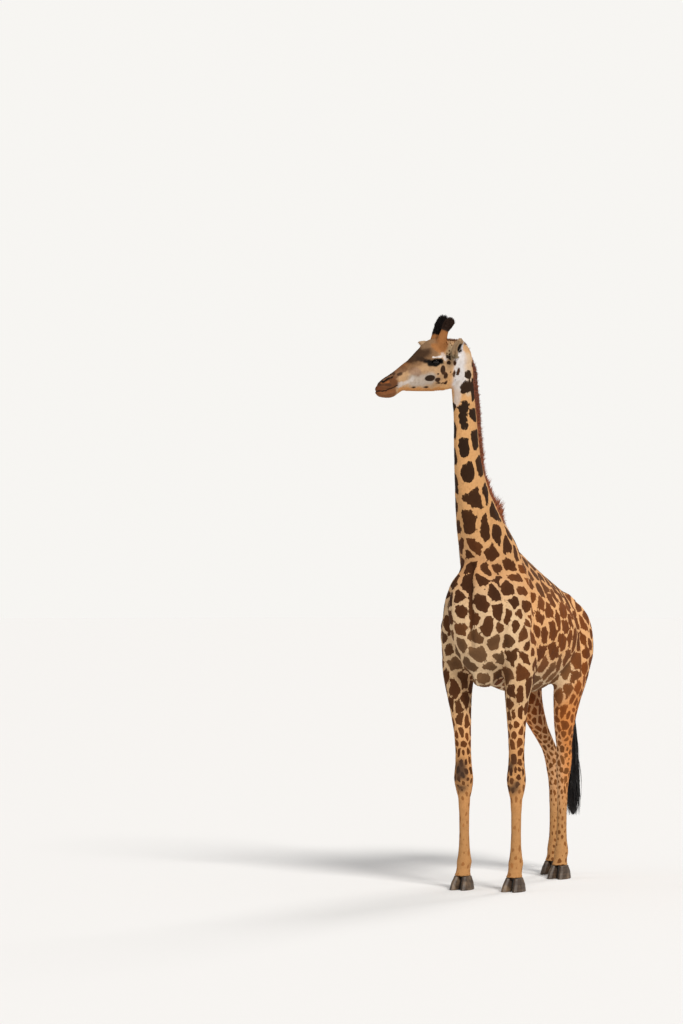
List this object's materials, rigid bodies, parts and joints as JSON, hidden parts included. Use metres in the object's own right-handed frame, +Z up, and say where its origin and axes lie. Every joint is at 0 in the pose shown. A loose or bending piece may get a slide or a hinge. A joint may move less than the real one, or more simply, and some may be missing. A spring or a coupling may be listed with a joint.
{
  "type": "giraffe",
  "caption": "Life-size Masai giraffe standing still, its head turned to its right and its tail hanging.",
  "frame": {"origin": "middle of the footprint at floor level", "axes": "+Z up, the body faces -Y, the animal's left side is at +X"},
  "size_m": [0.8562, 2.6696, 4.1665],
  "materials": {
    "coat": "short hair, matt",
    "mane_hair": "stiff upright hair",
    "tail_hair": "long glossy hair",
    "hoof": "dull horn",
    "eye": "wet and clear"
  },
  "bodies": {
    "root": {"head": "coat", "neck_upper": "coat", "neck_lower": "coat", "trunk": "coat", "foreleg_upper_left": "coat", "foreleg_upper_right": "coat", "foreleg_lower_left": "coat", "foreleg_lower_right": "coat", "hindleg_upper_left": "coat", "hindleg_upper_right": "coat", "hindleg_lower_left": "coat", "hindleg_lower_right": "coat", "ear_left": "coat", "ear_right": "coat", "ossicone_left": "coat", "ossicone_right": "coat", "tail": "coat", "eye_left": "eye", "eye_right": "eye", "mane": "mane_hair", "tail_tuft": "tail_hair", "hoof_front_left_outer": "hoof", "hoof_front_left_inner": "hoof", "hoof_front_right_outer": "hoof", "hoof_front_right_inner": "hoof", "hoof_hind_left_outer": "hoof", "hoof_hind_left_inner": "hoof", "hoof_hind_right_outer": "hoof", "hoof_hind_right_inner": "hoof"}
  },
  "joints": []
}
